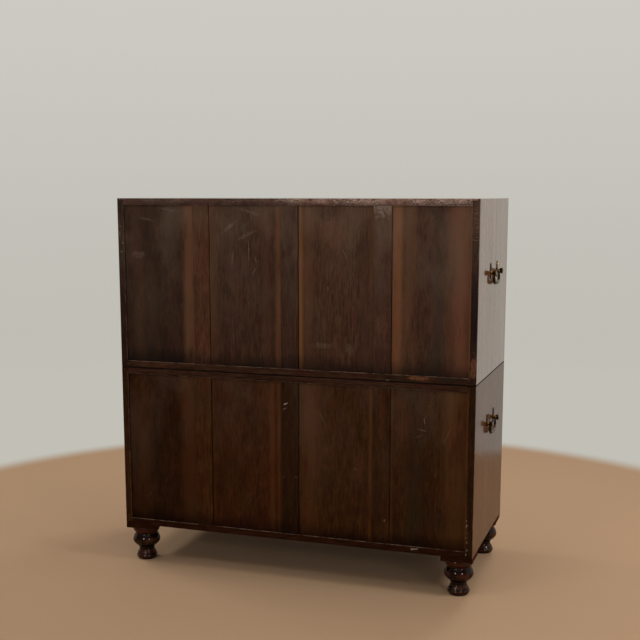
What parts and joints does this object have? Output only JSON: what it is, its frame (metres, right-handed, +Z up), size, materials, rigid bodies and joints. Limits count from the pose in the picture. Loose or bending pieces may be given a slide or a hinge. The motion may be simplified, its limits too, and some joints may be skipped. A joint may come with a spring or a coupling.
{
  "type": "campaign chest",
  "caption": "Two-part campaign chest of drawers with panelled back, flush brass drawer handles, brass carrying handles and removable turned feet.",
  "frame": {"origin": "on the floor, under the middle of the chest", "axes": "+Z up, -Y out of the drawer fronts, +Y out of the panelled back, +X to the right seen from the front"},
  "size_m": [1.0226, 0.44, 1.0203],
  "materials": {
    "mahogany": "polished varnish over red-brown mahogany",
    "back_wood": "worn dark stain, vertical grain",
    "drawer_lining": "plain planed wood, waxed",
    "turned_wood": "near-black gloss polish",
    "brass": "aged brass, worn bright on the edges"
  },
  "bodies": {
    "lower_case": {"lower_left_side": "mahogany", "lower_right_side": "mahogany", "lower_top": "mahogany", "lower_bottom": "mahogany", "lower_shelf": "mahogany", "lower_back_panel_1": "back_wood", "lower_back_panel_2": "back_wood", "lower_back_panel_3": "back_wood", "lower_back_panel_4": "back_wood", "lower_back_muntin_1": "back_wood", "lower_back_muntin_2": "back_wood", "lower_back_muntin_3": "back_wood", "lower_left_carry_mount_near": "brass", "lower_left_carry_mount_far": "brass", "lower_right_carry_mount_near": "brass", "lower_right_carry_mount_far": "brass"},
    "upper_case": {"upper_left_side": "mahogany", "upper_right_side": "mahogany", "upper_top": "mahogany", "upper_bottom": "mahogany", "upper_shelf": "mahogany", "upper_back_panel_1": "back_wood", "upper_back_panel_2": "back_wood", "upper_back_panel_3": "back_wood", "upper_back_panel_4": "back_wood", "upper_back_muntin_1": "back_wood", "upper_back_muntin_2": "back_wood", "upper_back_muntin_3": "back_wood", "upper_drawer_divider": "mahogany", "upper_left_carry_mount_near": "brass", "upper_left_carry_mount_far": "brass", "upper_right_carry_mount_near": "brass", "upper_right_carry_mount_far": "brass"},
    "bottom_drawer": {"bottom_drawer_front": "mahogany", "bottom_drawer_box": "drawer_lining"},
    "bottom_drawer_bail_left": {"bottom_drawer_bail_left": "brass"},
    "bottom_drawer_bail_right": {"bottom_drawer_bail_right": "brass"},
    "third_drawer": {"third_drawer_front": "mahogany", "third_drawer_box": "drawer_lining"},
    "third_drawer_bail_left": {"third_drawer_bail_left": "brass"},
    "third_drawer_bail_right": {"third_drawer_bail_right": "brass"},
    "second_drawer": {"second_drawer_front": "mahogany", "second_drawer_box": "drawer_lining"},
    "second_drawer_bail_left": {"second_drawer_bail_left": "brass"},
    "second_drawer_bail_right": {"second_drawer_bail_right": "brass"},
    "top_left_drawer": {"top_left_drawer_front": "mahogany", "top_left_drawer_box": "drawer_lining"},
    "top_left_drawer_bail_middle": {"top_left_drawer_bail_middle": "brass"},
    "top_right_drawer": {"top_right_drawer_front": "mahogany", "top_right_drawer_box": "drawer_lining"},
    "top_right_drawer_bail_middle": {"top_right_drawer_bail_middle": "brass"},
    "lower_left_carry_bail": {"lower_left_carry_bail": "brass"},
    "lower_right_carry_bail": {"lower_right_carry_bail": "brass"},
    "upper_left_carry_bail": {"upper_left_carry_bail": "brass"},
    "upper_right_carry_bail": {"upper_right_carry_bail": "brass"},
    "front_left_foot": {"front_left_foot": "turned_wood"},
    "front_right_foot": {"front_right_foot": "turned_wood"},
    "back_left_foot": {"back_left_foot": "turned_wood"},
    "back_right_foot": {"back_right_foot": "turned_wood"}
  },
  "joints": [
    {"name": "upper_case_lift", "type": "slide", "parent": "lower_case", "child": "upper_case", "axis": [0, 0, 1], "range_m": [0, 0.06]},
    {"name": "bottom_drawer_slide", "type": "slide", "parent": "lower_case", "child": "bottom_drawer", "axis": [0, -1, 0], "range_m": [0, 0.3]},
    {"name": "bottom_drawer_bail_left_hinge", "type": "hinge", "parent": "bottom_drawer", "child": "bottom_drawer_bail_left", "pos_m": [-0.2673, -0.2167, 0.2417], "axis": [-1, 0, 0], "range_deg": [0, 90]},
    {"name": "bottom_drawer_bail_right_hinge", "type": "hinge", "parent": "bottom_drawer", "child": "bottom_drawer_bail_right", "pos_m": [0.2673, -0.2167, 0.2417], "axis": [-1, 0, 0], "range_deg": [0, 90]},
    {"name": "third_drawer_slide", "type": "slide", "parent": "lower_case", "child": "third_drawer", "axis": [0, -1, 0], "range_m": [0, 0.3]},
    {"name": "third_drawer_bail_left_hinge", "type": "hinge", "parent": "third_drawer", "child": "third_drawer_bail_left", "pos_m": [-0.2673, -0.2167, 0.4577], "axis": [-1, 0, 0], "range_deg": [0, 90]},
    {"name": "third_drawer_bail_right_hinge", "type": "hinge", "parent": "third_drawer", "child": "third_drawer_bail_right", "pos_m": [0.2673, -0.2167, 0.4577], "axis": [-1, 0, 0], "range_deg": [0, 90]},
    {"name": "second_drawer_slide", "type": "slide", "parent": "upper_case", "child": "second_drawer", "axis": [0, -1, 0], "range_m": [0, 0.3]},
    {"name": "second_drawer_bail_left_hinge", "type": "hinge", "parent": "second_drawer", "child": "second_drawer_bail_left", "pos_m": [-0.2673, -0.2167, 0.698], "axis": [-1, 0, 0], "range_deg": [0, 90]},
    {"name": "second_drawer_bail_right_hinge", "type": "hinge", "parent": "second_drawer", "child": "second_drawer_bail_right", "pos_m": [0.2673, -0.2167, 0.698], "axis": [-1, 0, 0], "range_deg": [0, 90]},
    {"name": "top_left_drawer_slide", "type": "slide", "parent": "upper_case", "child": "top_left_drawer", "axis": [0, -1, 0], "range_m": [0, 0.3]},
    {"name": "top_left_drawer_bail_middle_hinge", "type": "hinge", "parent": "top_left_drawer", "child": "top_left_drawer_bail_middle", "pos_m": [-0.243, -0.2167, 0.9195], "axis": [-1, 0, 0], "range_deg": [0, 90]},
    {"name": "top_right_drawer_slide", "type": "slide", "parent": "upper_case", "child": "top_right_drawer", "axis": [0, -1, 0], "range_m": [0, 0.3]},
    {"name": "top_right_drawer_bail_middle_hinge", "type": "hinge", "parent": "top_right_drawer", "child": "top_right_drawer_bail_middle", "pos_m": [0.243, -0.2167, 0.9195], "axis": [-1, 0, 0], "range_deg": [0, 90]},
    {"name": "lower_left_carry_bail_hinge", "type": "hinge", "parent": "lower_case", "child": "lower_left_carry_bail", "pos_m": [-0.5029, 0, 0.429], "axis": [0, 1, 0], "range_deg": [0, 90]},
    {"name": "lower_right_carry_bail_hinge", "type": "hinge", "parent": "lower_case", "child": "lower_right_carry_bail", "pos_m": [0.5029, 0, 0.429], "axis": [0, -1, 0], "range_deg": [0, 90]},
    {"name": "upper_left_carry_bail_hinge", "type": "hinge", "parent": "upper_case", "child": "upper_left_carry_bail", "pos_m": [-0.5029, 0, 0.8293], "axis": [0, 1, 0], "range_deg": [0, 90]},
    {"name": "upper_right_carry_bail_hinge", "type": "hinge", "parent": "upper_case", "child": "upper_right_carry_bail", "pos_m": [0.5029, 0, 0.8293], "axis": [0, -1, 0], "range_deg": [0, 90]},
    {"name": "front_left_foot_unscrew", "type": "hinge", "parent": "lower_case", "child": "front_left_foot", "pos_m": [-0.4535, -0.1785, 0], "axis": [0, 0, 1], "continuous": true},
    {"name": "front_right_foot_unscrew", "type": "hinge", "parent": "lower_case", "child": "front_right_foot", "pos_m": [0.4535, -0.1785, 0], "axis": [0, 0, 1], "continuous": true},
    {"name": "back_left_foot_unscrew", "type": "hinge", "parent": "lower_case", "child": "back_left_foot", "pos_m": [-0.4535, 0.1785, 0], "axis": [0, 0, 1], "continuous": true},
    {"name": "back_right_foot_unscrew", "type": "hinge", "parent": "lower_case", "child": "back_right_foot", "pos_m": [0.4535, 0.1785, 0], "axis": [0, 0, 1], "continuous": true}
  ]
}
